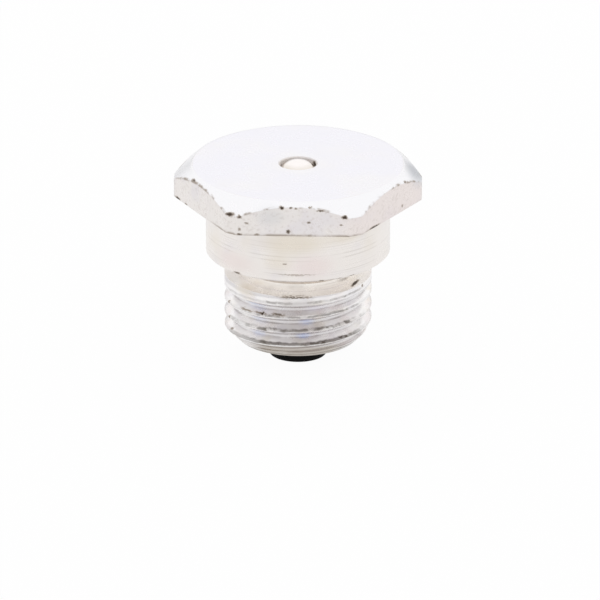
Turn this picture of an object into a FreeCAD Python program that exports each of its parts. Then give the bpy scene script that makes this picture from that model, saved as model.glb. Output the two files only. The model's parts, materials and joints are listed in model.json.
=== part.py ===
import FreeCAD, Part
import math
import os

# A grease nipple with a hexagon head and a flush face. A spring holds a ball on its seat
# just under the face, and a plastic bush pressed into the shank carries the spring.
# Millimetres. The origin is on the axis, in the plane of the collar's underside, which is
# the face that seats on the machine. +Z points out of the head.

# Head
across_flats = 15.0
hex_height = 2.4
corner_turned_off = 0.26
face_inside_flats = 0.35
head_chamfer_deg = 40.0

# Collar under the head
collar_d = 12.5
collar_height = 3.85
collar_edge_break = 0.1
collar_corner = 0.2

# Shank
thread_d = 10.0
thread_length = 4.65
thread_lead = 0.9
thread_pitch = 1.0
thread_depth = 0.6
thread_crest_width = 0.125
thread_flank_deg = 30.0
first_crest_height = 0.34
thread_run_out = 1.5
undercut_depth = 1.0
undercut_width = 1.55
undercut_corner_height = 1.0
seat_outside_thread = 0.05

# Ball, its seat and the inlet above it
ball_d = 3.0
ball_above_face = 0.2
ball_side_gap = 0.2
touch_gap = 0.02
seat_angle_deg = 60.0
seat_land = 0.066
inlet_edge_break = 0.1

# Spring
wire_d = 0.3
coil_mean_d = 2.2
active_turns = 4.0
closed_turns = 1.0
closed_coil_gap = 0.01
spring_height = 3.32

# Plastic bush
shoulder_width = 0.3
press_length = 4.2
press_lead = 0.2
stem_side_gap = 0.15
nose_step = 0.07
nose_length = 1.34
nose_edge_break = 0.1
outlet_d = 1.6

# Heights along the axis
hex_underside_z = collar_height
face_z = hex_underside_z + hex_height
thread_top_z = -undercut_width
thread_end_z = thread_top_z - thread_length
shoulder_z = thread_end_z + press_length

# The ball sits between its conical seat and the spring's top coil.
ball_r = ball_d / 2
ball_centre_z = face_z + ball_above_face - ball_r
chamber_r = ball_r + ball_side_gap
press_r = chamber_r + shoulder_width
wire_r = wire_d / 2
coil_r = coil_mean_d / 2
top_coil_z = ball_centre_z - math.sqrt((ball_r + wire_r + touch_gap) ** 2 - coil_r ** 2)
spring_bottom_z = top_coil_z + wire_r - spring_height
stem_top_z = spring_bottom_z - touch_gap


def point(radius, height):
    return FreeCAD.Vector(radius, 0, height)


def turned(corners):
    """A solid turned about the axis from the corners of half its section."""
    section = Part.Face(Part.makePolygon(corners + [corners[0]]))
    return section.revolve(FreeCAD.Vector(0, 0, 0), FreeCAD.Vector(0, 0, 1), 360)


def make_head():
    """Hexagon bar, faced, and chamfered in the lathe, which leaves the scalloped flats."""
    corner_r = across_flats / math.sqrt(3)
    corners = []
    for i in range(7):
        turn = math.radians(60 * i)
        corners.append(FreeCAD.Vector(corner_r * math.cos(turn), corner_r * math.sin(turn), hex_underside_z))
    hexagon = Part.Face(Part.makePolygon(corners)).extrude(FreeCAD.Vector(0, 0, hex_height))

    face_r = across_flats / 2 - face_inside_flats
    rim_r = corner_r - corner_turned_off
    rim_z = face_z - (rim_r - face_r) * math.tan(math.radians(head_chamfer_deg))
    blank = turned([
        point(0, hex_underside_z),
        point(rim_r, hex_underside_z),
        point(rim_r, rim_z),
        point(face_r, face_z),
        point(0, face_z),
    ])
    return hexagon.common(blank)


def make_shank():
    """Collar, undercut and the cylinder that the thread is cut into."""
    collar_r = collar_d / 2
    thread_r = thread_d / 2
    neck_r = thread_r - undercut_depth
    return turned([
        point(0, hex_underside_z),
        point(collar_r + collar_corner, hex_underside_z),
        point(collar_r, hex_underside_z - collar_corner),
        point(collar_r, collar_edge_break),
        point(collar_r - collar_edge_break, 0),
        point(thread_r + seat_outside_thread, 0),
        point(neck_r, -undercut_corner_height),
        point(neck_r, thread_top_z),
        point(thread_r, thread_top_z),
        point(thread_r, thread_end_z + thread_lead),
        point(thread_r - thread_lead, thread_end_z),
        point(0, thread_end_z),
    ])


def make_thread_groove():
    """The helical groove between the crests. Near the undercut it rises out of the shank."""
    flank = math.tan(math.radians(thread_flank_deg))
    reach = thread_depth + thread_crest_width / 2
    half_root = (thread_pitch - thread_crest_width) / 2 - thread_depth * flank
    half_mouth = half_root + reach * flank
    root_r = thread_d / 2 - thread_depth

    # Turns are counted from where the lowest groove between two crests passes the +X side.
    groove_z = thread_end_z + first_crest_height + thread_pitch / 2
    first_turn = -2.25
    last_turn = (thread_top_z - groove_z) / thread_pitch
    spans = math.ceil(last_turn - first_turn)
    points_per_span = 10
    path_points = []
    for i in range(spans * points_per_span + 1):
        turn = first_turn + (last_turn - first_turn) * i / (spans * points_per_span)
        height = groove_z + turn * thread_pitch
        angle = 2 * math.pi * turn
        rising = min(max((height - thread_top_z) / thread_run_out + 1, 0), 1)
        radius = root_r + reach * rising ** 2 * (3 - 2 * rising)
        path_points.append(FreeCAD.Vector(radius * math.cos(angle), radius * math.sin(angle), height))
    path = Part.BSplineCurve()
    path.interpolate(path_points)

    # No span goes all the way round, so that each face of the groove stays simple.
    joints = [path.parameter(path_points[i * points_per_span]) for i in range(spans + 1)]
    path_wire = Part.Wire([path.toShape(joints[i], joints[i + 1]) for i in range(spans)])
    start = path_points[0]
    outward = FreeCAD.Vector(start.x, start.y, 0).normalize()
    upward = FreeCAD.Vector(0, 0, 1)
    corners = []
    for outside_root, side in ((0, -half_root), (reach, -half_mouth), (reach, half_mouth), (0, half_root)):
        corners.append(start + outward * outside_root + upward * side)
    section = Part.makePolygon(corners + [corners[0]])
    return path_wire.makePipeShell([section], True, True)


def make_bore():
    """The space inside the body: inlet, conical seat, spring chamber and press bore."""
    half_angle = math.radians(seat_angle_deg / 2)
    # The cone touches the ball where its normal passes through the ball's centre.
    contact_r = (ball_r + touch_gap) * math.cos(half_angle)
    contact_z = ball_centre_z + (ball_r + touch_gap) * math.sin(half_angle)
    inlet_r = contact_r - seat_land
    return turned([
        point(0, face_z),
        point(inlet_r + inlet_edge_break, face_z),
        point(inlet_r, face_z - inlet_edge_break),
        point(inlet_r, contact_z + seat_land / math.tan(half_angle)),
        point(chamber_r, contact_z - (chamber_r - contact_r) / math.tan(half_angle)),
        point(chamber_r, shoulder_z),
        point(press_r, shoulder_z),
        point(press_r, thread_end_z),
        point(0, thread_end_z),
    ])


def make_body():
    blank = make_head().fuse(make_shank()).cut(make_bore()).removeSplitter()
    return blank.cut(make_thread_groove())


def make_ball():
    return Part.makeSphere(ball_r, point(0, ball_centre_z))


def make_retainer():
    """Moulded bush: a stem that carries the spring, a pressed length and a nose below."""
    outlet_r = outlet_d / 2
    stem_r = chamber_r - stem_side_gap
    nose_r = press_r - nose_step
    nose_end_z = thread_end_z - nose_length
    return turned([
        point(outlet_r, nose_end_z),
        point(outlet_r, stem_top_z),
        point(stem_r, stem_top_z),
        point(stem_r, shoulder_z),
        point(press_r - press_lead, shoulder_z),
        point(press_r, shoulder_z - press_lead),
        point(press_r, thread_end_z),
        point(nose_r, thread_end_z),
        point(nose_r, nose_end_z + nose_edge_break),
        point(nose_r - nose_edge_break, nose_end_z),
    ])


def make_spring():
    """Compression spring with closed ends, standing on the stem and nested under the ball."""
    turns = active_turns + 2 * closed_turns
    closed_pitch = wire_d + closed_coil_gap
    spare_height = spring_height - wire_d - turns * closed_pitch
    active_pitch = closed_pitch + spare_height / active_turns

    points_per_turn = 12
    ramp_turns = 0.5
    height = spring_bottom_z + wire_r
    path_points = []
    for i in range(round(turns * points_per_turn) + 1):
        turn = i / points_per_turn
        angle = 2 * math.pi * turn
        path_points.append(FreeCAD.Vector(coil_r * math.cos(angle), coil_r * math.sin(angle), height))
        # The pitch opens from closed to active over a short ramp at each end.
        middle = turn + 0.5 / points_per_turn
        from_end = min(middle, turns - middle)
        opening = min(max((from_end - closed_turns) / ramp_turns + 0.5, 0), 1)
        height += (closed_pitch + (active_pitch - closed_pitch) * opening) / points_per_turn
    path = Part.BSplineCurve()
    path.interpolate(path_points)

    # The wire is five-sided, which keeps the hidden coils light.
    start = path_points[0]
    outward = FreeCAD.Vector(1, 0, 0)
    upward = path.tangent(path.FirstParameter)[0].cross(outward)
    sides = 5
    corners = []
    for i in range(sides + 1):
        angle = 2 * math.pi * (i + 0.5) / sides
        corners.append(start + outward * (wire_r * math.cos(angle)) + upward * (wire_r * math.sin(angle)))
    section = Part.makePolygon(corners)
    return Part.Wire(path.toShape()).makePipeShell([section], True, True)


nodes = {
    "nipple_body": make_body(),
    "check_ball": make_ball(),
    "ball_spring": make_spring(),
    "spring_retainer": make_retainer(),
}

os.makedirs("parts", exist_ok=True)
for name, shape in nodes.items():
    shape.exportStep(f"parts/{name}.step")
    box = shape.BoundBox
    print(f"{name}: {shape.Volume:.3f} mm3, z {box.ZMin:.3f} to {box.ZMax:.3f}, valid {shape.isValid()}")
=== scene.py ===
import json
import math

import bmesh
import bpy
from mathutils import Matrix, Vector


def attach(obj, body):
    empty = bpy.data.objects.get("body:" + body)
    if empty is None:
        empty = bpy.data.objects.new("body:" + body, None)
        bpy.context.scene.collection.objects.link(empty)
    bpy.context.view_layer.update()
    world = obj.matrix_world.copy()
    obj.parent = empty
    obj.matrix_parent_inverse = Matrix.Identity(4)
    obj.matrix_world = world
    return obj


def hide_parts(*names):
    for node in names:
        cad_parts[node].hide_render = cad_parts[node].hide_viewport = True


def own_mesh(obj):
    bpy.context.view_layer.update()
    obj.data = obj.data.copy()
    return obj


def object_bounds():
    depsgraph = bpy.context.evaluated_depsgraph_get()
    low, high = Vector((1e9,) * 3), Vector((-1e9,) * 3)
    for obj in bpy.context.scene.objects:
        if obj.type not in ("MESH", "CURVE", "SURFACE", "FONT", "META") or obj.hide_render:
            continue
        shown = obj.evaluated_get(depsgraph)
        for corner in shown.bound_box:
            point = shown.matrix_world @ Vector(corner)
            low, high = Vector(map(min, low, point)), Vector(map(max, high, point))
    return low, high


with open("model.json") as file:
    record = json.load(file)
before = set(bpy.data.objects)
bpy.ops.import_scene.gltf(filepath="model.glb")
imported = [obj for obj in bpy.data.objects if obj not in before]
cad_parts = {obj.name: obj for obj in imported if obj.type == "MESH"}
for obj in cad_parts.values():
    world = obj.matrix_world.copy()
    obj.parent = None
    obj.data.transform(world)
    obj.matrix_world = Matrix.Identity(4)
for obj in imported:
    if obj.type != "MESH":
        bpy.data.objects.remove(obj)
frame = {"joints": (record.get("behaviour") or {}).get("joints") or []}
solid_box = [list(corner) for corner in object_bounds()]
mm = 0.001


# Nipple body
# The body is turned from hexagon bar in one piece: a scalloped hexagon head, a plain collar,
# an undercut and a fine right-hand thread. It is bored from below, and plated with zinc.

# Head, collar and neck
flats = 6
flat_angle = 2 * math.pi / flats
across_flats = 15.0 * mm
rim_r = 8.4 * mm
rim_rounding = 0.05 * mm
face_r = 7.15 * mm
face_z = 6.25 * mm
face_rounding = 0.4 * mm
chamfer_deg = 40
chamfer_slope = math.tan(math.radians(chamfer_deg))
rim_z = face_z - (rim_r - face_r) * chamfer_slope
underside_z = 3.85 * mm
collar_r = 6.25 * mm
collar_corner = 0.2 * mm
collar_foot_outer_r = 6.15 * mm
collar_foot_inner_r = 5.05 * mm
neck_r = 4.0 * mm
neck_top_z = -1.0 * mm

# Thread
thread_r = 5.0 * mm
thread_root_r = 4.4 * mm
thread_pitch = 1.0 * mm
thread_flank_deg = 30
thread_top_z = -1.55 * mm
thread_end_z = -6.2 * mm
thread_end_r = 4.1 * mm
thread_run_out = 1.5 * mm
thread_crest_z = -3.86 * mm
thread_crest_width = 0.125 * mm
thread_rounding = 0.06 * mm
ring_margin = 0.06 * mm

# Bore, from the inlet down to where the bush is pressed in
inlet_mouth_r = 1.352 * mm
inlet_r = 1.25 * mm
inlet_edge = 0.1 * mm
ball_seat_top_z = 5.82 * mm
ball_seat_foot_z = 5.06 * mm
chamber_r = 1.7 * mm
press_shoulder_z = -2.0 * mm
press_r = 2.0 * mm

# How finely the surface is divided
steps_round = 240
rows_per_pitch = 24
outline_spacing = 0.16 * mm


class Formula:
    """A number in a node tree. Arithmetic on it adds Math nodes to that tree."""

    def __init__(self, tree, socket):
        self.tree = tree
        self.socket = socket

    def math(self, operation, *others):
        node = self.tree.nodes.new("ShaderNodeMath")
        node.operation = operation
        for place, value in enumerate((self, *others)):
            if isinstance(value, Formula):
                self.tree.links.new(value.socket, node.inputs[place])
            else:
                node.inputs[place].default_value = value
        return Formula(self.tree, node.outputs[0])

    def __add__(self, other):
        return self.math("ADD", other)

    def __sub__(self, other):
        return self.math("SUBTRACT", other)

    def __mul__(self, other):
        return self.math("MULTIPLY", other)

    def __truediv__(self, other):
        return self.math("DIVIDE", other)

    def at_least(self, other):
        return self.math("MAXIMUM", other)

    def at_most(self, other):
        return self.math("MINIMUM", other)

    def unsigned(self):
        return self.math("ABSOLUTE")

    def below(self, other):
        """1 where this number is less than the other, and 0 elsewhere."""
        return self.math("LESS_THAN", other)

    def above(self, other):
        """1 where this number is more than the other, and 0 elsewhere."""
        return self.math("GREATER_THAN", other)

    def between(self, low, high):
        """0 below low, 1 above high and a smooth ramp between them. It falls where low is higher."""
        node = self.tree.nodes.new("ShaderNodeMapRange")
        node.interpolation_type = "SMOOTHSTEP"
        self.tree.links.new(self.socket, node.inputs["Value"])
        for name, value in (("From Min", low), ("From Max", high)):
            if isinstance(value, Formula):
                self.tree.links.new(value.socket, node.inputs[name])
            else:
                node.inputs[name].default_value = value
        return Formula(self.tree, node.outputs["Result"])

    def mixed(self, other, share):
        """This number where share is 0, and the other where it is 1."""
        return self + (other - self) * share

    def spread(self, at_none, at_full):
        """The first value where this number is 0, and the second where it is 1."""
        return self * (at_full - at_none) + at_none


def node_tree(name, sizes):
    """A geometry tree with the outline coming in first, then the named sizes and the finish."""
    tree = bpy.data.node_groups.new(name, "GeometryNodeTree")
    sockets = tree.interface
    sockets.new_socket("Outline", in_out="INPUT", socket_type="NodeSocketGeometry")
    for label, value in sizes.items():
        kind = "NodeSocketInt" if isinstance(value, int) else "NodeSocketFloat"
        sockets.new_socket(label, in_out="INPUT", socket_type=kind)
    sockets.new_socket("Finish", in_out="INPUT", socket_type="NodeSocketMaterial")
    sockets.new_socket("Surface", in_out="OUTPUT", socket_type="NodeSocketGeometry")
    entry = tree.nodes.new("NodeGroupInput")
    return tree, entry, {label: Formula(tree, entry.outputs[label]) for label in sizes}


# Added before a number is rounded down, so that a whole number isn't missed by a hair
rounding_margin = 0.0001


def swept_grid(tree, steps, rows):
    """A grid of faces, with the column and the row that each of its points lies in."""
    grid = tree.nodes.new("GeometryNodeMeshGrid")
    tree.links.new((steps + 1).socket, grid.inputs["Vertices X"])
    tree.links.new(rows.socket, grid.inputs["Vertices Y"])
    number = Formula(tree, tree.nodes.new("GeometryNodeInputIndex").outputs[0])
    column = (number / rows + rounding_margin).math("FLOOR")
    return grid.outputs["Mesh"], column, number - column * rows


def outline_point(tree, entry, row):
    """The radius and the height of the outline's point with that number."""
    sample = tree.nodes.new("GeometryNodeSampleIndex")
    sample.data_type = "FLOAT_VECTOR"
    place = tree.nodes.new("GeometryNodeInputPosition")
    split = tree.nodes.new("ShaderNodeSeparateXYZ")
    tree.links.new(entry.outputs["Outline"], sample.inputs["Geometry"])
    tree.links.new(place.outputs[0], sample.inputs["Value"])
    tree.links.new((row + rounding_margin).socket, sample.inputs["Index"])
    tree.links.new(sample.outputs[0], split.inputs[0])
    return Formula(tree, split.outputs["X"]), Formula(tree, split.outputs["Z"])


def outline_size(tree, entry):
    """How many points the outline has."""
    size = tree.nodes.new("GeometryNodeAttributeDomainSize")
    tree.links.new(entry.outputs["Outline"], size.inputs["Geometry"])
    return Formula(tree, size.outputs["Point Count"])


def set_round(tree, surface, radius, angle, height):
    """Moves a grid's points to their radius, angle and height about the axis."""
    move = tree.nodes.new("GeometryNodeSetPosition")
    place = tree.nodes.new("ShaderNodeCombineXYZ")
    tree.links.new((radius * angle.math("COSINE")).socket, place.inputs["X"])
    tree.links.new((radius * angle.math("SINE")).socket, place.inputs["Y"])
    tree.links.new(height.socket, place.inputs["Z"])
    tree.links.new(surface, move.inputs["Geometry"])
    tree.links.new(place.outputs[0], move.inputs["Position"])
    return move.outputs["Geometry"]


def finish_tree(tree, entry, surfaces):
    """Welds the surfaces into one skin and gives it its finish."""
    weld_distance = 0.001 * mm
    join = tree.nodes.new("GeometryNodeJoinGeometry")
    for surface in surfaces:
        tree.links.new(surface, join.inputs[0])
    weld = tree.nodes.new("GeometryNodeMergeByDistance")
    weld.inputs["Distance"].default_value = weld_distance
    realize = tree.nodes.new("GeometryNodeRealizeInstances")
    paint = tree.nodes.new("GeometryNodeSetMaterial")
    leave = tree.nodes.new("NodeGroupOutput")
    tree.links.new(join.outputs[0], weld.inputs["Geometry"])
    tree.links.new(weld.outputs[0], realize.inputs[0])
    tree.links.new(realize.outputs[0], paint.inputs["Geometry"])
    tree.links.new(entry.outputs["Finish"], paint.inputs["Material"])
    tree.links.new(paint.outputs[0], leave.inputs[0])


def rounded_outline(corners, spacing):
    """Points along straight runs, with a small arc at each corner that has a rounding."""
    arc_steps = 3
    points = [corners[0][:2]]
    for i in range(1, len(corners)):
        here = Vector(corners[i][:2])
        rounding = corners[i][2]
        arc = [here]
        if rounding and i < len(corners) - 1:
            back = (Vector(corners[i - 1][:2]) - here).normalized()
            ahead = (Vector(corners[i + 1][:2]) - here).normalized()
            half = back.angle(ahead) / 2
            centre = here + (back + ahead).normalized() * rounding / math.sin(half)
            start = (here + back * rounding / math.tan(half) - centre) / rounding
            end = (here + ahead * rounding / math.tan(half) - centre) / rounding
            shares = [step / arc_steps for step in range(arc_steps + 1)]
            arc = [centre + start.slerp(end, share) * rounding for share in shares]
        run_start = Vector(points[-1])
        run = arc[0] - run_start
        pieces = max(1, round(run.length / spacing))
        points += [tuple(run_start + run * step / pieces) for step in range(1, pieces)]
        points += [tuple(point) for point in arc]
    return points


def outline_object(name, points):
    """An object whose mesh holds only the outline's points, as radius and height."""
    mesh = bpy.data.meshes.new(name)
    mesh.from_pydata([(radius, 0, height) for radius, height in points], [], [])
    made = bpy.data.objects.new(name, mesh)
    bpy.context.scene.collection.objects.link(made)
    return made


def plain_piece(made, tree, sizes, finish):
    """Runs the tree on the object and keeps the result as a plain mesh."""
    sharp_edge_deg = 38
    nodes = made.modifiers.new("surface", "NODES")
    nodes.node_group = tree
    values = {**sizes, "Finish": finish}
    for item in tree.interface.items_tree:
        if item.in_out == "INPUT" and item.name in values:
            nodes[item.identifier] = values[item.name]
    shaped = made.evaluated_get(bpy.context.evaluated_depsgraph_get())
    mesh = bpy.data.meshes.new_from_object(shaped)
    made.modifiers.clear()
    made.data = mesh
    mesh.name = made.name
    mesh.shade_smooth()
    mesh.set_sharp_from_angle(angle=math.radians(sharp_edge_deg))


body_sizes = {
    "Steps round": steps_round,
    "Across flats": across_flats,
    "Rim radius": rim_r,
    "Rim height": rim_z,
    "Face radius": face_r,
    "Face height": face_z,
    "Chamfer slope": chamfer_slope,
    "Underside height": underside_z,
    "Thread radius": thread_r,
    "Thread root radius": thread_root_r,
    "Thread pitch": thread_pitch,
    "Thread top": thread_top_z,
    "Thread end": thread_end_z,
    "Neck radius": neck_r,
    "End radius": thread_end_r,
    "Crest height": thread_crest_z,
    "Rows per pitch": rows_per_pitch,
}


def head_and_bore(tree, entry, size):
    """The turned outline. Above the underside its rim is cut back to the six flats."""
    full_turn = 2 * math.pi
    surface, column, row = swept_grid(tree, size["Steps round"], outline_size(tree, entry))
    radius, height = outline_point(tree, entry, row)
    angle = column / size["Steps round"] * full_turn

    # A column has to run up each edge between a flat and the turned corner.
    half_flat = math.acos(across_flats / 2 / rim_r)
    column_angle = full_turn / steps_round
    edge_column = round(half_flat / column_angle) * column_angle
    edge_margin = column_angle / 4
    corner_stretch = (flat_angle / 2 - half_flat) / (flat_angle / 2 - edge_column)
    flat_middle = ((angle / flat_angle).math("FLOOR") + 0.5) * flat_angle
    off_middle = angle - flat_middle
    away = off_middle.unsigned()
    on_flat = away * (half_flat / edge_column)
    on_corner = (away - edge_column) * corner_stretch + half_flat
    shifted = on_corner.mixed(on_flat, away.below(edge_column + edge_margin))
    in_head = radius.above(face_r)
    angle = angle.mixed(flat_middle + shifted * off_middle.math("SIGN"), in_head)

    # The chamfer comes down lower where it meets a corner than in the middle of a flat.
    flat_r = size["Across flats"] / 2 / shifted.math("COSINE")
    edge_r = flat_r.at_most(size["Rim radius"])
    edge_z = size["Face height"] - (edge_r - size["Face radius"]) * size["Chamfer slope"]
    cut_share = (edge_r - size["Face radius"]) / (size["Rim radius"] - size["Face radius"])
    cut_r = size["Face radius"] + (radius - size["Face radius"]) * cut_share
    stretch = (edge_z - size["Underside height"]) / (size["Rim height"] - size["Underside height"])
    wall_z = size["Underside height"] + (height - size["Underside height"]) * stretch
    chamfer_z = height + (radius - cut_r) * size["Chamfer slope"]
    on_wall = height.below(size["Rim height"])
    cut_z = chamfer_z.mixed(wall_z, on_wall)
    return set_round(tree, surface, radius.mixed(cut_r, in_head), angle, height.mixed(cut_z, in_head))


def thread_skin(tree, size):
    """A strip wound up the shank, one pitch wide, with its ends tucked into neck and end face."""
    turns = math.ceil((thread_top_z - thread_end_z) / thread_pitch) + 1
    surface, column, row = swept_grid(tree, size["Steps round"] * turns, size["Rows per pitch"] + 1)
    turn = column / size["Steps round"]
    across = row / size["Rows per pitch"]
    raw_z = size["Thread end"] + (turn + across - 1) * size["Thread pitch"]
    angle = turn * (2 * math.pi)

    # 0 on the crest's middle and 1 in the root's
    offset = (size["Thread end"] - size["Crest height"]) / size["Thread pitch"]
    phase = (across + offset).math("FRACT")
    from_crest = (phase - 0.5).unsigned() * -2 + 1

    # The groove between the crests rises out of the shank near the undercut.
    flank_slope = 1 / math.tan(math.radians(thread_flank_deg))
    fall = (from_crest * size["Thread pitch"] - thread_crest_width) * (flank_slope / 2)
    groove_z = raw_z - (phase - 0.5) * size["Thread pitch"]
    risen = groove_z.between(size["Thread top"] - thread_run_out, size["Thread top"])
    reach = size["Thread radius"] - size["Thread root radius"] + thread_crest_width / 2
    flank = size["Thread radius"] - fall
    rooted = flank.math("SMOOTH_MAX", size["Thread root radius"], thread_rounding)
    form = (rooted + risen * reach).math("SMOOTH_MIN", size["Thread radius"], thread_rounding)

    # A lead of 45 degrees cuts the end, and rows past the top close the ring up to the neck.
    lead = size["End radius"] + (raw_z - size["Thread end"])
    led = form.at_most(lead.at_least(size["End radius"]))
    past_top = size["Thread top"] + ring_margin
    radius = led.mixed(size["Neck radius"], raw_z.above(past_top))
    height = raw_z.at_most(size["Thread top"]).at_least(size["Thread end"])
    return set_round(tree, surface, radius, angle, height)


class Surface:
    """A material's node tree, with the place on the part in millimetres."""

    def __init__(self, name):
        self.material = bpy.data.materials.new(name)
        self.material.use_nodes = True
        self.tree = self.material.node_tree
        self.shader = self.tree.nodes["Principled BSDF"]
        where = self.tree.nodes.new("ShaderNodeTexCoord")
        self.place = self.moved("SCALE", where.outputs["Object"], 1 / mm)
        split = self.tree.nodes.new("ShaderNodeSeparateXYZ")
        self.tree.links.new(self.place, split.inputs[0])
        self.x, self.y, self.z = (Formula(self.tree, split.outputs[i]) for i in range(3))
        self.r = (self.x * self.x + self.y * self.y).math("SQRT")
        self.angle = self.y.math("ARCTAN2", self.x)

    def feed(self, name, value):
        """Feeds an input of the shader with a number or a colour of this tree."""
        socket = value.socket if isinstance(value, Formula) else value
        self.tree.links.new(socket, self.shader.inputs[name])

    def moved(self, operation, vector, value):
        """The vector after one step of vector arithmetic."""
        node = self.tree.nodes.new("ShaderNodeVectorMath")
        node.operation = operation
        self.tree.links.new(vector, node.inputs[0])
        if operation == "SCALE":
            node.inputs["Scale"].default_value = value
        elif isinstance(value, tuple):
            node.inputs[1].default_value = value
        else:
            self.tree.links.new(value, node.inputs[1])
        return node.outputs[0]

    def noise(self, size, seed, detail):
        """Noise with lumps about so many millimetres across."""
        node = self.tree.nodes.new("ShaderNodeTexNoise")
        node.noise_dimensions = "4D"
        self.tree.links.new(self.place, node.inputs["Vector"])
        node.inputs["W"].default_value = seed
        node.inputs["Scale"].default_value = 1 / size
        node.inputs["Detail"].default_value = detail
        return node

    def clouds(self, size, seed, detail=2.0):
        """A soft random number from 0 to 1, which changes over so many millimetres."""
        return Formula(self.tree, self.noise(size, seed, detail).outputs[0])

    def patches(self, size, seed, low, high, detail=2.0):
        """Random patches: 0 where the clouds are thinner than low, and 1 where thicker than high."""
        return self.clouds(size, seed, detail).between(low, high)

    def ragged(self, size, seed, reach):
        """The place, pushed about at random by up to half the reach, which frays the edges of spots."""
        detail = 3.0
        middle = (0.5, 0.5, 0.5)
        colour = self.noise(size, seed, detail).outputs[1]
        push = self.moved("SCALE", self.moved("SUBTRACT", colour, middle), reach)
        return self.moved("ADD", self.place, push)

    def tool_marks(self, along, spacing, seed):
        """Fine random rings along the given number, from 0 to 1."""
        node = self.tree.nodes.new("ShaderNodeTexNoise")
        node.noise_dimensions = "1D"
        self.tree.links.new((along / spacing + seed).socket, node.inputs["W"])
        node.inputs["Scale"].default_value = 1.0
        node.inputs["Detail"].default_value = 3.0
        return Formula(self.tree, node.outputs[0])

    def spot(self, place, centre, turn, wide, tall):
        """1 in a spot that lies on a side wall, fading to 0 around it. The wall faces the turn angle."""
        depth = 0.7
        fade_start = 1.7
        fade_end = 0.3
        along_wall = math.radians(turn + 90)
        local = self.tree.nodes.new("ShaderNodeMapping")
        local.vector_type = "TEXTURE"
        self.tree.links.new(place, local.inputs["Vector"])
        local.inputs["Location"].default_value = centre
        local.inputs["Rotation"].default_value = (0, 0, along_wall)
        local.inputs["Scale"].default_value = (wide / 2, depth, tall / 2)
        length = self.tree.nodes.new("ShaderNodeVectorMath")
        length.operation = "LENGTH"
        self.tree.links.new(local.outputs[0], length.inputs[0])
        return Formula(self.tree, length.outputs["Value"]).between(fade_start, fade_end)

    def laid(self, under, over, amount):
        """A colour laid over another as far as the amount says."""
        node = self.tree.nodes.new("ShaderNodeMix")
        node.data_type = "RGBA"

        # The colour sockets share their names with others, so they are taken by their number.
        factor, first, second = node.inputs[0], node.inputs[6], node.inputs[7]
        self.tree.links.new(amount.socket, factor)
        for socket, colour in ((first, under), (second, over)):
            if isinstance(colour, tuple):
                socket.default_value = (*colour, 1)
            else:
                self.tree.links.new(colour, socket)
        return node.outputs[2]

    def relief(self, height):
        """Bump from a height in millimetres."""
        node = self.tree.nodes.new("ShaderNodeBump")
        node.inputs["Strength"].default_value = 1.0
        node.inputs["Distance"].default_value = mm
        self.tree.links.new(height.socket, node.inputs["Height"])
        self.tree.links.new(node.outputs[0], self.shader.inputs["Normal"])


def on_turned(angle, radius, height):
    """The point at that angle in degrees on a turned wall."""
    turn = math.radians(angle)
    return (radius * math.cos(turn), radius * math.sin(turn), height)


def on_flat_wall(facing, along, height):
    """The point so far along the flat of the hexagon that faces that angle in degrees."""
    turn = math.radians(facing)
    apothem = across_flats / 2 / mm
    return (
        apothem * math.cos(turn) - along * math.sin(turn),
        apothem * math.sin(turn) + along * math.cos(turn),
        height,
    )


# Dirt spots on the flats, those at the foot partly painted shade, in degrees and millimetres:
# angle that the flat faces, place along it, height, spot's width, spot's height, strength
flat_spots = [
    # Along the upper edge
    (-150, -1.02, 5.96, 0.60, 0.16, 0.85),
    (-150, 0.0, 5.91, 0.45, 0.14, 0.6),
    (-150, 4.06, 5.24, 0.62, 0.28, 1.0),
    (-90, -3.64, 5.19, 0.32, 0.26, 0.85),
    (-90, -0.80, 5.89, 0.34, 0.22, 1.0),
    (-90, -0.19, 5.90, 0.22, 0.16, 0.8),
    (-90, 0.15, 5.87, 0.20, 0.14, 0.75),
    (-90, 1.10, 5.92, 0.26, 0.12, 0.65),
    (-90, 1.81, 5.71, 0.60, 0.12, 0.8),
    (-90, 3.43, 5.25, 0.38, 0.26, 1.0),
    (-30, 1.75, 5.83, 0.30, 0.14, 0.7),
    # Lower on the flats
    (-90, -3.17, 4.76, 0.30, 0.18, 0.65),
    (-90, 1.03, 4.86, 0.28, 0.18, 0.85),
    (-90, 3.20, 4.71, 0.24, 0.14, 0.65),
    (-90, -0.36, 4.20, 0.28, 0.28, 0.9),
    (-90, -3.64, 4.32, 0.22, 0.22, 0.65),
    (-30, 1.30, 4.26, 0.26, 0.24, 0.6),
    # At the foot, partly dirt and partly painted shade under the head's edge
    (-150, -3.24, 3.92, 0.70, 0.20, 0.95),
    (-150, -2.03, 3.92, 0.40, 0.16, 0.7),
    (-30, -2.25, 3.90, 1.30, 0.20, 0.95),
    (-90, -3.64, 3.92, 0.40, 0.22, 0.8),
    (-90, -2.49, 3.92, 0.44, 0.20, 0.65),
    (-90, 1.03, 3.88, 0.34, 0.14, 0.65),
    (-90, 3.59, 3.88, 0.44, 0.16, 0.65),
    # On the back
    (150, 0.8, 5.88, 0.5, 0.16, 0.9),
    (90, -2.2, 5.1, 0.3, 0.2, 0.8),
    (30, 1.4, 4.5, 0.3, 0.22, 0.7),
]
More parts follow.
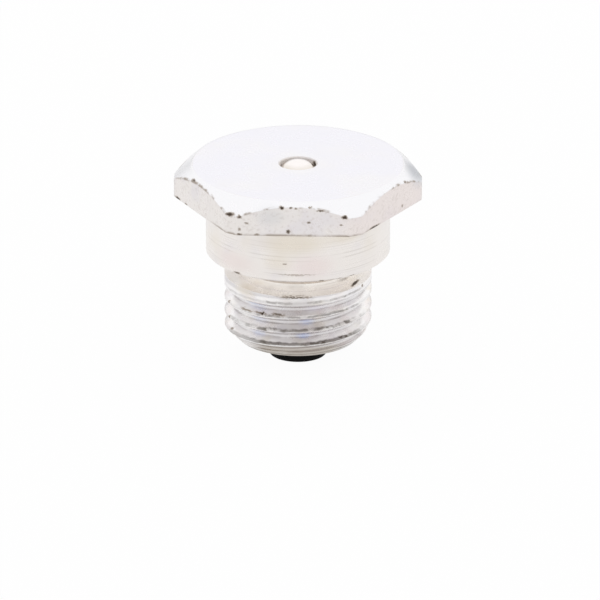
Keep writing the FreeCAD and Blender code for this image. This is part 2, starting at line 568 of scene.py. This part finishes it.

# Dirt spots, and spots of painted shade, on what is turned, in degrees and millimetres:
# angle, radius, height, spot's width, spot's height, strength
turned_spots = [
    # Collar
    (-96, 6.25, 1.33, 0.32, 0.12, 0.65),
    (-129, 6.25, 0.08, 0.60, 0.20, 0.85),
    (-73, 6.25, 0.05, 0.40, 0.12, 0.7),
    (-61, 6.25, 0.05, 0.26, 0.12, 0.65),
    (-52, 6.25, 0.05, 0.50, 0.12, 0.65),
    (-89, 6.25, 0.55, 3.0, 0.12, 0.45),
    # Where the thread begins
    (-27, 4.9, -1.73, 0.22, 0.26, 0.7),
    # Painted shade: a long line along the top of the thread, under the neck
    (-90, 5.3, -1.6, 2.9, 0.12, 0.9),
    (-117, 5.0, -3.02, 0.24, 0.18, 1.0),
    (-133, 5.0, -3.08, 1.2, 0.10, 0.7),
    (-119, 5.0, -3.02, 1.0, 0.10, 0.75),
    (-104, 5.0, -2.94, 1.0, 0.09, 0.75),
    # Sides of the thread: painted shade in the notches of its outline
    (-158, 5.0, -3.22, 0.35, 0.16, 0.7),
    (-157, 5.0, -4.28, 0.35, 0.16, 0.75),
    (-156, 5.0, -5.12, 0.35, 0.16, 0.7),
    (-12, 5.0, -2.29, 0.25, 0.18, 0.7),
    (-12, 5.0, -4.0, 0.30, 0.14, 0.65),
    # Inlet
    (26, 1.27, 5.98, 0.50, 0.36, 1.0),
    # On the back
    (60, 6.25, 2.4, 0.4, 0.14, 0.8),
    (140, 6.25, 1.1, 0.3, 0.12, 0.8),
    (100, 5.0, -3.3, 0.3, 0.2, 0.9),
]

straw_tint = (0.80, 0.72, 0.59)
rose_tint = (0.87, 0.77, 0.75)
lilac_tint = (0.76, 0.73, 0.79)
blue_reflection_tint = (0.52, 0.58, 0.80)
painted_shade_tint = (0.60, 0.57, 0.56)
bluish_grey = (0.59, 0.61, 0.65)
# A lighter tone for bright tool marks, and for painted highlights
bright_mark_and_highlight_tone = (1.0, 0.99, 0.98)

# Places where the plating is tinted, and patches of painted shade, highlight and reflection, in degrees
# and millimetres:
# tint, angle, radius, height, patch's width, patch's height, strength
tints = [
    # Collar
    # The straw patches on the collar's front are partly the plating's tint and partly painted shade,
    # keeping the middle darker than the sides.
    (straw_tint, -91, 6.25, 2.85, 4.6, 1.5, 0.6),
    (straw_tint, -57, 6.25, 3.1, 2.6, 1.0, 0.5),
    (rose_tint, -79, 6.25, 1.1, 2.6, 1.5, 0.75),
    (rose_tint, -132, 6.25, 0.9, 3.0, 1.2, 0.6),
    (straw_tint, -100, 6.25, 1.4, 1.6, 1.2, 0.4),
    # Thread
    (straw_tint, -135, 4.8, -1.75, 1.6, 0.5, 0.6),
    # Painted shade across the front of the thread
    (painted_shade_tint, -88, 4.8, -2.2, 2.6, 0.9, 0.5),
    (painted_shade_tint, -88, 4.8, -3.7, 3.0, 3.0, 0.3),
    # Painted highlights down the thread's left and right sides
    (bright_mark_and_highlight_tone, -138, 4.8, -4.1, 3.2, 3.6, 0.45),
    (bright_mark_and_highlight_tone, -28, 4.8, -3.9, 2.2, 4.5, 0.45),
    # Painted reflection: bluish bands on the thread's flanks
    (blue_reflection_tint, -128, 4.8, -2.64, 1.5, 0.26, 0.45),
    (blue_reflection_tint, -80, 4.7, -3.56, 1.0, 0.26, 0.6),
    (blue_reflection_tint, -125, 4.8, -3.67, 1.3, 0.24, 0.35),
    (blue_reflection_tint, -125, 4.7, -4.76, 1.2, 0.24, 0.45),
    (blue_reflection_tint, -83, 4.7, -4.6, 0.9, 0.26, 0.75),
    (lilac_tint, -72, 4.8, -2.56, 1.5, 0.3, 0.6),
    # Head
    (bluish_grey, 2, 7.95, 5.6, 2.8, 1.4, 0.8),
    (bluish_grey, -102, 7.6, 5.2, 1.8, 1.2, 0.3),
    # Neck, with painted highlights at its left and right sides
    (bright_mark_and_highlight_tone, -163, 4.7, -0.6, 2.8, 1.4, 0.9),
    (bright_mark_and_highlight_tone, -13, 4.7, -0.6, 2.8, 1.4, 0.9),
]


class PlatedBody(Surface):
    """Bright zinc over turned steel: faint tool marks and tints, dirt in pits and along edges, and
    painted shade, highlights and reflections.
    """

    # Dark colours for dirt, and for painted shade
    grime_and_shade_tone = (0.085, 0.065, 0.05)
    grime_and_shade_edge = (0.46, 0.40, 0.35)

    def __init__(self):
        super().__init__("zinc_plated_steel")
        self.frayed = self.ragged(size=0.12, seed=40.0, reach=0.25)

        # How far a place lies from the head's edges
        chamfered = (self.r - face_r / mm).at_least(0.0) * -chamfer_slope
        self.below_top = chamfered - self.z + face_z / mm
        self.above_underside = self.z - underside_z / mm
        fold = (self.angle / flat_angle).math("FRACT") * flat_angle - flat_angle / 2
        self.inside_flat = self.r * fold.math("COSINE") * -1 + across_flats / 2 / mm

        # 1 on a region of the body, and 0 off it
        head_blur = 0.03
        thread_blur = 0.1
        flat_start = 0.01
        flat_full = 0.05
        self.in_head = self.above_underside.between(-head_blur, 0.0)
        self.on_flat = self.below_top.between(flat_start, flat_full) * self.in_head
        self.in_inlet = self.r.between(inlet_mouth_r / mm, inlet_r / mm)
        self.in_thread = self.z.between(thread_top_z / mm + thread_blur, thread_top_z / mm - thread_blur)

        # Turns up along the thread, and the share of a pitch above the crest just below
        self.rise = self.z / (thread_pitch / mm) - self.angle / (2 * math.pi)
        self.above_crest = (self.rise - thread_crest_z / thread_pitch).math("FRACT")

    def shank(self):
        """Collar and neck, ringed by the tool."""
        turned_tone = (0.91, 0.868, 0.835)
        # The neck's tone is painted lighter than the collar's, as painted light against the shade under
        # the collar.
        neck_tone = (0.99, 0.95, 0.90)
        mark_tone = (0.62, 0.58, 0.54)
        lilac_share = 0.4
        straw_share = 0.3
        mark_share = 0.4
        neck_mark_share = 0.6
        neck_blur = 0.2
        lilac = self.patches(size=2.0, seed=1.5, low=0.5, high=0.8)
        straw = self.patches(size=3.0, seed=3.0, low=0.5, high=0.75)
        rings = self.tool_marks(self.z, spacing=0.16, seed=4.0).between(low=0.5, high=0.7)
        marks = rings * self.patches(size=2.6, seed=6.0, low=0.4, high=0.6)
        colour = self.laid(turned_tone, lilac_tint, lilac * lilac_share)
        colour = self.laid(colour, straw_tint, straw * straw_share)
        colour = self.laid(colour, mark_tone, marks * mark_share)
        neck = self.laid(neck_tone, mark_tone, marks * neck_mark_share)
        return self.laid(colour, neck, self.z.between(0.0, -neck_blur))

    def thread(self):
        """Greyish plating in fine lines along the thread, a dark line on the crest that is partly dirt
        and partly painted shade, and painted shade on the lead.
        """
        plating = self.thread_plating()
        streaks = self.tool_marks(self.rise, spacing=0.16, seed=3.0)

        # Lines are fainter where the thread starts, just under the neck.
        faint_to = thread_top_z / mm - 0.5
        full_from = thread_top_z / mm - 3.2
        below_start = self.z.between(faint_to, full_from).spread(at_none=0.55, at_full=1.0)
        lined = self.thread_lines(plating, streaks, below_start)
        crest_lined = self.laid(lined, self.grime_and_shade_tone, self.crest_grime_and_shade_line(below_start))

        # Painted shade: the lead under the last crest faces down and is painted darker, and least so at
        # the sides.
        lead_shade_tone = (0.46, 0.41, 0.35)
        lead_start = thread_end_z / mm + 0.78
        lead_full = thread_end_z / mm + 0.6
        side_x = 3.6
        middle_x = 2.0
        middle = self.x.unsigned().between(side_x, middle_x).spread(at_none=0.3, at_full=1.0)
        lead = self.z.between(lead_start, lead_full) * middle
        return self.laid(crest_lined, lead_shade_tone, lead * streaks.spread(at_none=0.5, at_full=1.0))

    def thread_plating(self):
        """Patches of tints, and painted shade in the root and on the flank that faces down."""
        thread_tone = (0.98, 0.96, 0.955)
        root_shade_tone = (0.64, 0.62, 0.64)
        lilac_share = 0.4
        rose_share = 0.4
        straw_share = 0.35
        root_shade_share = 0.6
        lilac = self.patches(size=1.1, seed=12.0, low=0.45, high=0.7)
        rose = self.patches(size=1.3, seed=41.0, low=0.48, high=0.65)
        straw = self.patches(size=1.2, seed=44.0, low=0.52, high=0.68)
        past_lower_flank = self.above_crest.between(low=0.36, high=0.46)
        before_upper_flank = self.above_crest.between(low=0.95, high=0.85)
        colour = self.laid(thread_tone, lilac_tint, lilac * lilac_share)
        colour = self.laid(colour, rose_tint, rose * rose_share)
        colour = self.laid(colour, straw_tint, straw * straw_share)
        # Painted shade in the thread's groove
        return self.laid(colour, root_shade_tone, past_lower_flank * before_upper_flank * root_shade_share)

    def thread_lines(self, plating, streaks, below_start):
        """Bright and dark tool marks along the thread, and a broken line at the foot of the flank."""
        line_tone = (0.42, 0.39, 0.38)
        bright_share = 0.6
        dark_share = 0.55
        foot_share = 0.45
        flank_foot = 0.41
        foot_edge = 0.08
        foot_core = 0.02
        bright = streaks.between(low=0.46, high=0.3)
        dark = streaks.between(low=0.52, high=0.68)
        dark = dark * self.patches(size=0.8, seed=33.0, low=0.35, high=0.6)
        foot = (self.above_crest - flank_foot).unsigned().between(foot_edge, foot_core)
        foot = foot * self.patches(size=0.9, seed=25.0, low=0.45, high=0.65)
        colour = self.laid(plating, bright_mark_and_highlight_tone, bright * bright_share)
        colour = self.laid(colour, line_tone, dark * below_start * dark_share)
        return self.laid(colour, line_tone, foot * below_start * foot_share)

    def crest_grime_and_shade_line(self, below_start):
        """A wavy line just above the crest's middle, partly dirt and partly painted shade, whole near
        the end and faint at the sides.
        """
        above_middle = 0.08
        line_edge = 0.13
        line_core = 0.04
        whole_share = 0.8
        whole_start = thread_end_z / mm + 1.7
        whole_full = thread_end_z / mm + 1.2
        side_y = 1.2
        front_y = 3.2
        wave = self.clouds(size=0.5, seed=14.0).spread(at_none=-0.08, at_full=0.08)
        from_line = (self.above_crest - (above_middle + 0.5) + wave).math("FRACT") - 0.5
        line = from_line.unsigned().between(line_edge, line_core)
        worn_through = self.patches(size=0.55, seed=2.0, low=0.42, high=0.58, detail=3.0)
        broken = worn_through.spread(at_none=0.38, at_full=0.98)
        whole = self.z.between(whole_start, whole_full) * whole_share
        front_and_back = self.y.unsigned().between(side_y, front_y).spread(at_none=0.15, at_full=1.0)
        return line * (broken * below_start).at_least(whole) * front_and_back

    def head(self):
        """A bright face and chamfer, and greyer flats with flecks."""
        face_tone = (0.925, 0.915, 0.965)
        warm_face_tone = (0.94, 0.925, 0.945)
        face_ring_tone = (0.86, 0.85, 0.90)
        chamfer_tone = (0.955, 0.95, 0.97)
        inlet_tone = (0.98, 0.94, 0.89)
        ring_share = 0.2
        edge_blur = 0.05
        warm = self.patches(size=4.0, seed=30.0, low=0.45, high=0.7)
        rings = self.tool_marks(self.r, spacing=0.18, seed=2.0).between(low=0.5, high=0.8)
        on_chamfer = self.r.between(face_r / mm - edge_blur, face_r / mm + edge_blur)
        top = self.laid(face_tone, warm_face_tone, warm)
        top = self.laid(top, face_ring_tone, rings * ring_share)
        top = self.laid(top, chamfer_tone, on_chamfer)
        top = self.laid(top, inlet_tone, self.in_inlet)
        return self.laid(top, self.flats(), self.on_flat)

    def flats(self):
        """Grey flats with lilac patches and fine flecks. They turn rosy towards the right."""
        flat_tone = (0.875, 0.835, 0.81)
        fleck_tone = (0.64, 0.58, 0.55)
        lilac_share = 0.4
        rose_share = 0.5
        fleck_share = 0.4
        rosy_from = 2.0
        rosy_to = 5.0
        lilac = self.patches(size=1.8, seed=21.0, low=0.5, high=0.7)
        flecks = self.patches(size=0.22, seed=5.0, low=0.5, high=0.7, detail=4.0)
        colour = self.laid(flat_tone, lilac_tint, lilac * lilac_share)
        colour = self.laid(colour, rose_tint, self.x.between(rosy_from, rosy_to) * rose_share)
        return self.laid(colour, fleck_tone, flecks * fleck_share)

    def tinted(self, colour):
        """The colour with each tinted place, and each patch of painted shade, highlight and reflection,
        laid over it.
        """
        for tint, angle, radius, height, wide, tall, strength in tints:
            patch = self.spot(self.frayed, on_turned(angle, radius, height), angle, wide, tall)
            colour = self.laid(colour, tint, patch * strength)
        return colour

    def edge_dirt_and_shade(self):
        """A broken line along the flats' upper edge, and one at their foot that is partly dirt and
        partly painted shade under the head, fainter at the sides.
        """
        edge_width = 0.2
        edge_share = 0.62
        foot_width = 0.3
        foot_core = 0.02
        inner_limit = 0.5
        inner_full = 0.25
        side_x = 6.0
        front_x = 4.8
        from_edge = self.below_top.unsigned().at_least(self.inside_flat.unsigned())
        broken = self.patches(size=0.9, seed=7.0, low=0.42, high=0.62, detail=3.0)
        edge = from_edge.between(edge_width, 0.0) * broken * edge_share
        at_foot = self.above_underside.unsigned().between(foot_width, foot_core)
        foot = at_foot * self.inside_flat.between(inner_limit, inner_full)
        thicker = self.patches(size=0.8, seed=9.0, low=0.35, high=0.6, detail=3.0)
        patchy = thicker.spread(at_none=0.3, at_full=0.6)
        front_and_back = self.x.unsigned().between(side_x, front_x).spread(at_none=0.3, at_full=1.0)
        return edge.at_least(foot * patchy * front_and_back)

    def dirt_and_shade(self):
        """Lines along the head's edges, a scratch where the thread begins, the pits, and spots of
        painted shade.
        """
        scratch_end = on_turned(angle=-30, radius=4.56, height=thread_top_z / mm)
        scratch_turn = 72
        scratch_width = 0.26
        scratch_length = 0.6
        scratch = self.spot(self.frayed, scratch_end, scratch_turn, scratch_width, scratch_length)
        dirt_and_shade = self.edge_dirt_and_shade().at_least(scratch)
        for facing, along, height, wide, tall, strength in flat_spots:
            spot = self.spot(self.frayed, on_flat_wall(facing, along, height), facing, wide, tall)
            dirt_and_shade = dirt_and_shade.at_least(spot * strength)
        for angle, radius, height, wide, tall, strength in turned_spots:
            spot = self.spot(self.frayed, on_turned(angle, radius, height), angle, wide, tall)
            dirt_and_shade = dirt_and_shade.at_least(spot * strength)
        return dirt_and_shade

    def finish(self):
        """Puts the regions together. Dirt and painted shade are brown at their edge, dark inside, and
        rough.
        """
        stain_from = 0.1
        stain_full = 0.65
        dark_from = 0.55
        dark_full = 1.0
        greased_metallic = 0.2
        dirt_roughness = 0.3
        grease_roughness = 0.35
        ring_depth = 0.0015
        fleck_depth = 0.003
        shank = self.laid(self.shank(), self.thread(), self.in_thread)
        colour = self.tinted(self.laid(shank, self.head(), self.in_head))
        dirt_and_shade = self.dirt_and_shade()
        colour = self.laid(colour, self.grime_and_shade_edge, dirt_and_shade.between(stain_from, stain_full))
        colour = self.laid(colour, self.grime_and_shade_tone, dirt_and_shade.between(dark_from, dark_full))
        self.feed("Base Color", colour)

        # Grease in the inlet hides most of the metal.
        self.feed("Metallic", self.in_inlet.spread(1.0, greased_metallic))
        roughness = self.clouds(size=1.2, seed=11.0).spread(at_none=0.22, at_full=0.34)
        roughness = roughness + dirt_and_shade * dirt_roughness + self.in_inlet * grease_roughness
        self.feed("Roughness", roughness)
        rings = self.tool_marks(self.z, spacing=0.22, seed=4.0)
        flecks = self.clouds(size=0.22, seed=5.0, detail=4.0)
        self.relief(rings * ring_depth + flecks * fleck_depth)
        return self.material


# Radius, height and rounding of each corner, from the neck up over the head and down the bore
body_corners = [
    (neck_r, thread_top_z, 0),
    (neck_r, neck_top_z, 0),
    (collar_foot_inner_r, 0, 0),
    (collar_foot_outer_r, 0, 0),
    (collar_r, collar_r - collar_foot_outer_r, 0),
    (collar_r, underside_z - collar_corner, 0),
    (collar_r + collar_corner, underside_z, 0),
    (rim_r, underside_z, rim_rounding),
    (rim_r, rim_z, rim_rounding),
    (face_r, face_z, face_rounding),
    (inlet_mouth_r, face_z, 0),
    (inlet_r, face_z - inlet_edge, 0),
    (inlet_r, ball_seat_top_z, 0),
    (chamber_r, ball_seat_foot_z, 0),
    (chamber_r, press_shoulder_z, 0),
    (press_r, press_shoulder_z, 0),
    (press_r, thread_end_z, 0),
    (thread_end_r, thread_end_z, 0),
]
body_tree, body_entry, body_size = node_tree("turned_body", body_sizes)
finish_tree(body_tree, body_entry, [
    head_and_bore(body_tree, body_entry, body_size),
    thread_skin(body_tree, body_size),
])
body = outline_object("grease_nipple_body", rounded_outline(body_corners, outline_spacing))
plain_piece(body, body_tree, body_sizes, PlatedBody().finish())
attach(body, "nipple")
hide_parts("nipple_body")


# Check ball
# A hardened and polished steel ball. It closes the inlet from below, where grease pressed in
# from the gun pushes it down off its seat.

ball_r = 1.5 * mm
ball_centre_z = 4.95 * mm
ball_subdivisions = 5

ball_light = (1.0, 0.955, 0.935)
ball_film = (0.84, 0.78, 0.71)
film_start_r = 0.6
film_full_r = 1.05
film_share = 0.8
smear_share = 0.2

ball_finish = Surface("ball_steel")
ball_finish.shader.inputs["Metallic"].default_value = 1.0
film = ball_finish.r.between(film_start_r, film_full_r) * film_share
smears = ball_finish.patches(size=0.5, seed=2.0, low=0.5, high=0.7) * smear_share
ball_roughness = ball_finish.clouds(size=0.3, seed=4.0).spread(at_none=0.12, at_full=0.22)
ball_finish.feed("Base Color", ball_finish.laid(ball_light, ball_film, film + smears))
ball_finish.feed("Roughness", ball_roughness)

ball_shape = bmesh.new()
bmesh.ops.create_icosphere(
    ball_shape,
    subdivisions=ball_subdivisions,
    radius=ball_r,
    matrix=Matrix.Translation((0, 0, ball_centre_z)),
)
ball_mesh = bpy.data.meshes.new("check_ball_polished")
ball_shape.to_mesh(ball_mesh)
ball_shape.free()
ball_mesh.shade_smooth()
ball_mesh.materials.append(ball_finish.material)
ball = bpy.data.objects.new("check_ball_polished", ball_mesh)
bpy.context.scene.collection.objects.link(ball)
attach(ball, "ball")
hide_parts("check_ball")


# Spring
# A compression spring of round wire, wound with closed ends. It stands on the bush and
# holds the ball up on its seat. The real one flattens as the ball goes down.

wire_r = 0.15 * mm
wire_sides = 12
coil_r = 1.1 * mm
spring_foot_z = 0.5235 * mm
closed_pitch = 0.31 * mm
open_pitch = 0.60 * mm
spring_turns = 6.0
closed_turns = 1.0
ramp_turns = 0.5
stem_top_z = 0.5035 * mm
steps_per_turn = 40

spring_sizes = {
    "Wire radius": wire_r,
    "Coil radius": coil_r,
    "Foot height": spring_foot_z,
    "Closed pitch": closed_pitch,
    "Open pitch": open_pitch,
    "Turns": spring_turns,
}


def opened_turns(turn, start):
    """Turns gone by at the open pitch, where the pitch begins to open at the start turn."""
    # Over the ramp the pitch opens evenly, so what it gains grows as the square.
    ramp = ((turn - start) / ramp_turns).at_most(1.0).at_least(0.0)
    return ramp * ramp * (ramp_turns / 2) + (turn - start - ramp_turns).at_least(0.0)


spring_tree, spring_entry, spring_size = node_tree("closed_end_spring", spring_sizes)
path = spring_tree.nodes.new("GeometryNodeMeshLine")
path_points = spring_size["Turns"] * steps_per_turn + 1
spring_tree.links.new(path_points.socket, path.inputs["Count"])
turn = Formula(spring_tree, spring_tree.nodes.new("GeometryNodeInputIndex").outputs[0]) / steps_per_turn

# The pitch opens above the closed foot, and closes again below the top.
opening_start = closed_turns - ramp_turns / 2
closing_start = spring_size["Turns"] - (closed_turns + ramp_turns / 2)
opened = opened_turns(turn, opening_start) - opened_turns(turn, closing_start)
pitch_gain = spring_size["Open pitch"] - spring_size["Closed pitch"]
rise = turn * spring_size["Closed pitch"] + opened * pitch_gain
coil = set_round(
    spring_tree,
    path.outputs[0],
    spring_size["Coil radius"],
    turn * (2 * math.pi),
    spring_size["Foot height"] + spring_size["Wire radius"] + rise,
)
coil_curve = spring_tree.nodes.new("GeometryNodeMeshToCurve")
wire_section = spring_tree.nodes.new("GeometryNodeCurvePrimitiveCircle")
wire_section.inputs["Resolution"].default_value = wire_sides
wire = spring_tree.nodes.new("GeometryNodeCurveToMesh")
wire.inputs["Fill Caps"].default_value = True
spring_tree.links.new(coil, coil_curve.inputs[0])
spring_tree.links.new(spring_size["Wire radius"].socket, wire_section.inputs["Radius"])
spring_tree.links.new(coil_curve.outputs[0], wire.inputs["Curve"])
spring_tree.links.new(wire_section.outputs[0], wire.inputs["Profile Curve"])
finish_tree(spring_tree, spring_entry, [wire.outputs[0]])

wire_tone = (0.55, 0.54, 0.52)
dull_wire_tone = (0.35, 0.33, 0.31)
spring_finish = Surface("spring_steel")
spring_finish.shader.inputs["Metallic"].default_value = 1.0
dull = spring_finish.patches(size=0.4, seed=3.0, low=0.4, high=0.7)
wire_roughness = spring_finish.clouds(size=0.3, seed=6.0).spread(at_none=0.25, at_full=0.45)
spring_finish.feed("Base Color", spring_finish.laid(wire_tone, dull_wire_tone, dull))
spring_finish.feed("Roughness", wire_roughness)

spring = outline_object("ball_spring_wire", [(coil_r, spring_foot_z)])
plain_piece(spring, spring_tree, spring_sizes, spring_finish.material)
spring_joint = next(joint for joint in frame["joints"] if joint["name"] == "ball_lift")
open_turns = spring_turns - 2 * closed_turns
coil_rise = closed_pitch * spring_turns + (open_pitch - closed_pitch) * open_turns
spring_height = coil_rise + 2 * wire_r
kept_share = 1 - spring_joint["range_m"][1] / spring_height
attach(spring, "nipple")
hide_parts("ball_spring")
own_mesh(spring)


# Bush
# A moulded black plastic bush, pressed up into the shank. Its stem carries the spring, and
# its nose stands out below the thread.

outlet_r = 0.8 * mm
stem_r = 1.55 * mm
press_lead = 0.2 * mm
nose_r = 1.93 * mm
nose_end_z = -7.54 * mm
nose_rounding = 0.04 * mm
bush_steps_round = 120
bush_spacing = 0.3 * mm

# Radius, height and rounding of each corner, from the outlet out round the nose and back
bush_corners = [
    (outlet_r, nose_end_z, 0),
    (nose_r, nose_end_z, nose_rounding),
    (nose_r, thread_end_z, 0),
    (press_r, thread_end_z, 0),
    (press_r, press_shoulder_z - press_lead, 0),
    (press_r - press_lead, press_shoulder_z, 0),
    (stem_r, press_shoulder_z, 0),
    (stem_r, stem_top_z, 0),
    (outlet_r, stem_top_z, 0),
    (outlet_r, nose_end_z, 0),
]
bush_sizes = {"Steps round": bush_steps_round}
bush_tree, bush_entry, bush_size = node_tree("moulded_bush", bush_sizes)
bush_points = outline_size(bush_tree, bush_entry)
bush_grid, bush_column, bush_row = swept_grid(bush_tree, bush_size["Steps round"], bush_points)
bush_radius, bush_height = outline_point(bush_tree, bush_entry, bush_row)
bush_angle = bush_column / bush_size["Steps round"] * (2 * math.pi)
bush_skin = set_round(bush_tree, bush_grid, bush_radius, bush_angle, bush_height)
finish_tree(bush_tree, bush_entry, [bush_skin])

plastic_tone = (0.002, 0.002, 0.002)
worn_plastic_tone = (0.005, 0.005, 0.0045)
plastic_gloss = 0.08
grain_depth = 0.004
plastic = Surface("black_plastic")
plastic.shader.inputs["Specular IOR Level"].default_value = plastic_gloss
wear = plastic.clouds(size=0.5, seed=2.0)
dullness = plastic.clouds(size=0.25, seed=3.0, detail=4.0)
plastic.feed("Base Color", plastic.laid(plastic_tone, worn_plastic_tone, wear))
plastic.feed("Roughness", dullness.spread(at_none=0.35, at_full=0.6))
plastic.relief(plastic.clouds(size=0.12, seed=5.0) * grain_depth)

bush = outline_object("spring_bush", rounded_outline(bush_corners, bush_spacing))
plain_piece(bush, bush_tree, bush_sizes, plastic.material)
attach(bush, "nipple")
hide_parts("spring_retainer")


# Floor, light and camera
# A white table in a bright soft room with a light overhead, seen from a little above. The low
# edge of the room is greyer, which shows in the metal at its sides.

floor_half = 1.5
floor_gap = 0.005 * mm
floor_z = solid_box[0][2] - floor_gap
floor_paint = 0.97
white_share = 0.96
darker_in_metal = 0.31


def seen_directly(tree):
    """1 for what the camera, a mirror or glass sees, and 0 where light is only gathered."""
    rays = tree.nodes.new("ShaderNodeLightPath")
    seen = Formula(tree, rays.outputs["Is Camera Ray"])
    seen = seen + Formula(tree, rays.outputs["Is Glossy Ray"])
    return (seen + Formula(tree, rays.outputs["Is Transmission Ray"])).at_most(1.0)


def seen_in_metal(tree):
    return Formula(tree, tree.nodes.new("ShaderNodeLightPath").outputs["Is Glossy Ray"])


floor_corners = [
    (-floor_half, -floor_half, floor_z),
    (floor_half, -floor_half, floor_z),
    (floor_half, floor_half, floor_z),
    (-floor_half, floor_half, floor_z),
]
floor_mesh = bpy.data.meshes.new("floor")
floor_mesh.from_pydata(floor_corners, [], [(0, 1, 2, 3)])
floor_white = bpy.data.materials.new("white_table")
floor_white.use_nodes = True
floor_tree = floor_white.node_tree
floor_tree.nodes.remove(floor_tree.nodes["Principled BSDF"])
table_paint = floor_tree.nodes.new("ShaderNodeBsdfDiffuse")
table_paint.inputs["Color"].default_value = (floor_paint, floor_paint, floor_paint, 1)
plain_white = floor_tree.nodes.new("ShaderNodeEmission")
plain_white.inputs["Strength"].default_value = 1.0
floor_mix = floor_tree.nodes.new("ShaderNodeMixShader")
share_of_white = seen_directly(floor_tree) * white_share - seen_in_metal(floor_tree) * darker_in_metal
floor_tree.links.new(share_of_white.socket, floor_mix.inputs[0])
floor_tree.links.new(table_paint.outputs[0], floor_mix.inputs[1])
floor_tree.links.new(plain_white.outputs[0], floor_mix.inputs[2])
floor_tree.links.new(floor_mix.outputs[0], floor_tree.nodes["Material Output"].inputs["Surface"])
floor_mesh.materials.append(floor_white)
floor = bpy.data.objects.new("floor", floor_mesh)
bpy.context.scene.collection.objects.link(floor)

room_light = 0.8
low_edge_tone = 0.62
low_edge_top = 0.17
low_edge_full = 0.05
room = bpy.data.worlds.new("studio")
room.use_nodes = True
bpy.context.scene.world = room
room_tree = room.node_tree
background = room_tree.nodes["Background"]
direction = room_tree.nodes.new("ShaderNodeTexCoord")
direction_parts = room_tree.nodes.new("ShaderNodeSeparateXYZ")
room_tree.links.new(direction.outputs["Generated"], direction_parts.inputs[0])
height_up = Formula(room_tree, direction_parts.outputs["Z"])
at_low_edge = height_up.between(low_edge_top, low_edge_full) * seen_in_metal(room_tree)
tone = seen_directly(room_tree).spread(room_light, 1.0) - at_low_edge * (1 - low_edge_tone)
room_tree.links.new(tone.socket, background.inputs["Strength"])
background.inputs["Color"].default_value = (1, 1, 1, 1)

lamp_size = 0.3
lamp_watts = 0.33
lamp_place = (-0.05, 0.3, 0.45)
lamp_data = bpy.data.lights.new("overhead_light", "AREA")
lamp_data.shape = "DISK"
lamp_data.size = lamp_size
lamp_data.energy = lamp_watts
lamp = bpy.data.objects.new("overhead_light", lamp_data)
lamp.location = lamp_place
lamp.rotation_euler = lamp.location.to_track_quat("Z", "Y").to_euler()
lamp.visible_glossy = False
bpy.context.scene.collection.objects.link(lamp)

camera_azimuth = math.radians(2.25)
camera_elevation = math.radians(21.85)
camera_distance = 0.8
nearest_seen = 0.01
farthest_seen = 10
px_per_mm = 14.77
image_px = 600
face_centre_px = (298, 162.8)

right = Vector((math.cos(camera_azimuth), math.sin(camera_azimuth), 0))
back = Vector((
    math.sin(camera_azimuth) * math.cos(camera_elevation),
    -math.cos(camera_azimuth) * math.cos(camera_elevation),
    math.sin(camera_elevation),
))
up = back.cross(right)
across_px = image_px / 2 - face_centre_px[0]
down_px = image_px / 2 - face_centre_px[1]
target = Vector((0, 0, face_z)) + (right * across_px - up * down_px) * (mm / px_per_mm)

camera_data = bpy.data.cameras.new("camera")
camera_data.lens = camera_data.sensor_width * camera_distance * px_per_mm / (image_px * mm)
camera_data.clip_start = nearest_seen
camera_data.clip_end = farthest_seen
camera = bpy.data.objects.new("camera", camera_data)
camera.location = target + back * camera_distance
camera.rotation_mode = "QUATERNION"
camera.rotation_quaternion = (-back).to_track_quat("-Z", "Y")
bpy.context.scene.collection.objects.link(camera)
bpy.context.scene.camera = camera

scene = bpy.context.scene
scene.view_settings.view_transform = "Standard"
